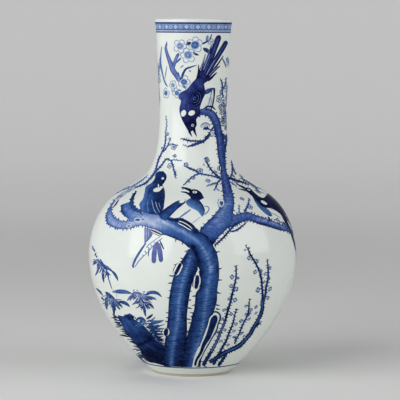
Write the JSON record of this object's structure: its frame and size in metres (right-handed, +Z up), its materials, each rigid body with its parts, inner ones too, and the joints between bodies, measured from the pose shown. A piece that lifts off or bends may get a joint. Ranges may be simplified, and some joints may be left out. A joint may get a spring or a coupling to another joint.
{
  "type": "bottle vase",
  "caption": "Large porcelain bottle vase: globular body, tall narrow neck with a slightly flared mouth, turned foot ring, open inside.",
  "frame": {"origin": "middle of the foot's standing face, on the surface that the vase stands on", "axes": "+Z up the vase's axis from the foot to the mouth; -Y is the painted front that the picture shows"},
  "size_m": [0.294, 0.294, 0.5],
  "materials": {
    "glazed_porcelain": "clear glaze over white porcelain, faintly green",
    "porcelain_slip": "fired slip, matt",
    "underglaze_cobalt": "cobalt blue brushwork under the clear glaze"
  },
  "bodies": {
    "root": {"foot_section": "glazed_porcelain", "lower_body": "glazed_porcelain", "upper_body": "glazed_porcelain", "neck": "glazed_porcelain", "foot_slip_seam": "porcelain_slip", "belly_slip_seam": "porcelain_slip", "neck_slip_seam": "porcelain_slip"}
  },
  "joints": []
}
